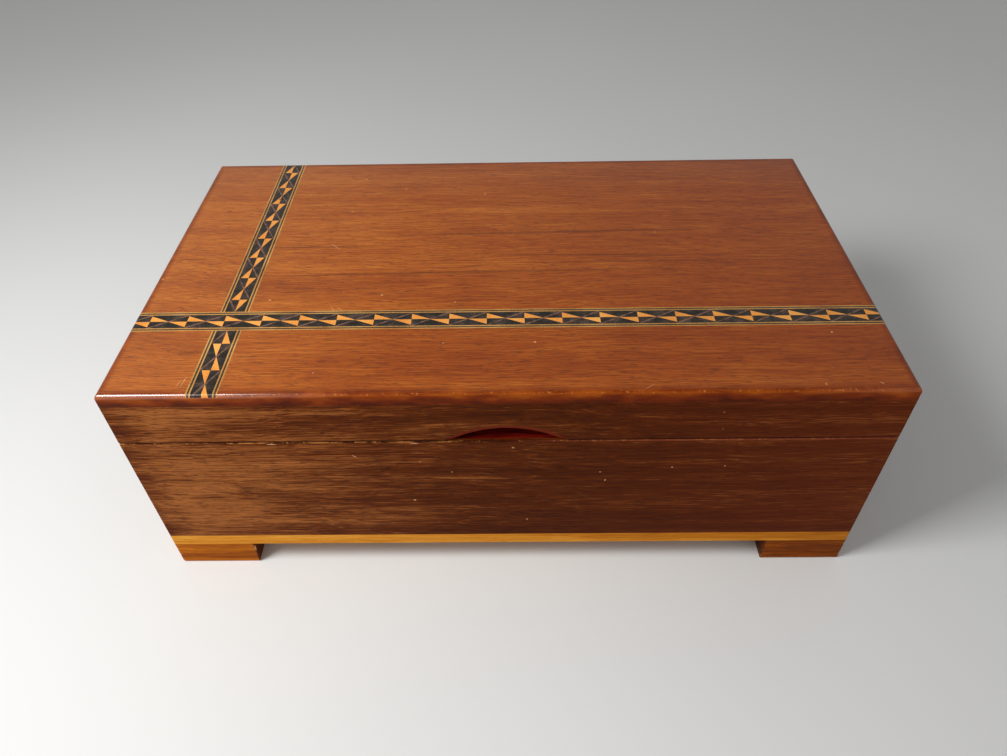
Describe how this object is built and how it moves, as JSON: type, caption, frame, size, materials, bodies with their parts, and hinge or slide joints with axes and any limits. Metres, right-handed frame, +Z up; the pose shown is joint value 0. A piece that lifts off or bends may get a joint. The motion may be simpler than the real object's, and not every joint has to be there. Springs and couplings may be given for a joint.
{
  "type": "musical jewelry box",
  "caption": "Low footed wooden box with a hinged, marquetry-banded lid and thumb notch, mirror, ring rolls and a key-wound musical movement under glass.",
  "frame": {"origin": "on the floor under the middle of the case, lid closed", "axes": "+X to the right of someone facing the thumb notch, +Y to the hinges, +Z up"},
  "size_m": [0.266, 0.152, 0.096],
  "materials": {
    "red_mahogany": "satin varnish",
    "dark_walnut": "satin varnish",
    "pale_wood": "thin varnish",
    "black_inlay": "satin varnish",
    "orange_inlay": "satin varnish",
    "light_inlay": "satin varnish",
    "velvet": "short pile",
    "mirror_glass": "polished",
    "clear_glass": "polished",
    "brass": "polished",
    "steel": "ground",
    "cast_metal": "dark"
  },
  "bodies": {
    "case": {"back_board": "dark_walnut", "barrel_bridge": "brass", "base_board": "pale_wood", "base_screws": "brass", "bedplate": "brass", "bedplate_screws": "steel", "case_hinge_leaves": "brass", "case_hinge_screws": "brass", "clutch_spring": "steel", "comb": "steel", "comb_block": "cast_metal", "comb_screws": "steel", "foot_back_left": "red_mahogany", "foot_back_right": "red_mahogany", "foot_front_left": "red_mahogany", "foot_front_right": "red_mahogany", "front_board": "dark_walnut", "glass_ledges": "pale_wood", "governor_frame": "brass", "hinge_pins": "brass", "jewellery_pad": "velvet", "left_bearing_bracket": "brass", "left_end_board": "dark_walnut", "lever_stud": "steel", "movement_front_partition": "pale_wood", "movement_glass": "clear_glass", "movement_screws": "steel", "movement_side_partition": "pale_wood", "right_bearing_bracket": "brass", "right_end_board": "dark_walnut", "ring_rolls": "velvet"},
    "lid": {"lid_top_board": "red_mahogany", "lid_front_rail": "dark_walnut", "lid_back_rail": "dark_walnut", "lid_left_rail": "dark_walnut", "lid_right_rail": "dark_walnut", "inlay_ground": "black_inlay", "inlay_triangles": "orange_inlay", "inlay_light_lines": "light_inlay", "inlay_dark_lines": "black_inlay", "lid_mirror": "mirror_glass", "mirror_frame": "red_mahogany", "lid_hinge_leaves": "brass", "lid_hinge_screws": "brass"},
    "key": {"winding_key": "brass", "winding_arbor": "steel"},
    "barrel": {"spring_barrel": "brass", "barrel_cover": "brass", "mainspring": "steel"},
    "cylinder": {"music_cylinder": "brass", "cylinder_pins": "steel", "cylinder_arbor": "steel", "cylinder_wheel": "brass"},
    "governor_wheel": {"governor_arbor": "brass"},
    "rotor": {"governor_worm": "steel", "governor_fan": "brass"},
    "push_pin": {"stop_pin": "brass"},
    "lever": {"stop_lever": "steel"}
  },
  "joints": [
    {"name": "lid_hinge", "type": "hinge", "parent": "case", "child": "lid", "pos_m": [0, 0.074, 0.073], "axis": [-1, 0, 0], "range_deg": [0, 98]},
    {"name": "key_wind", "type": "hinge", "parent": "case", "child": "key", "pos_m": [-0.1075, 0.0419, 0], "axis": [0, 0, 1], "continuous": true},
    {"name": "cylinder_turn", "type": "hinge", "parent": "case", "child": "cylinder", "pos_m": [-0.1075, 0.0419, 0.02882], "axis": [1, 0, 0], "continuous": true},
    {"name": "barrel_turn", "type": "hinge", "parent": "case", "child": "barrel", "pos_m": [-0.1075, 0.0419, 0.02882], "axis": [0, 0, 1], "continuous": true},
    {"name": "governor_wheel_turn", "type": "hinge", "parent": "case", "child": "governor_wheel", "pos_m": [-0.0665, 0.05195, 0.02882], "axis": [1, 0, 0], "continuous": true},
    {"name": "rotor_spin", "type": "hinge", "parent": "case", "child": "rotor", "pos_m": [-0.0665, 0.0595, 0.02882], "axis": [0, 0, 1], "continuous": true},
    {"name": "push_pin_slide", "type": "slide", "parent": "case", "child": "push_pin", "axis": [0, 0, 1], "range_m": [0, 0.002]},
    {"name": "lever_swing", "type": "hinge", "parent": "case", "child": "lever", "pos_m": [-0.061, 0.0643, 0.03742], "axis": [1, 0, 0], "range_deg": [0, 20.6]}
  ],
  "couplings": [
    {"joint": "barrel_turn", "follows": "cylinder_turn", "ratio": 0.25},
    {"joint": "governor_wheel_turn", "follows": "cylinder_turn", "ratio": -4},
    {"joint": "rotor_spin", "follows": "cylinder_turn", "ratio": 120},
    {"joint": "push_pin_slide", "follows": "lid_hinge", "m_per_rad": 0.001169},
    {"joint": "lever_swing", "follows": "lid_hinge", "ratio": 0.2095}
  ]
}
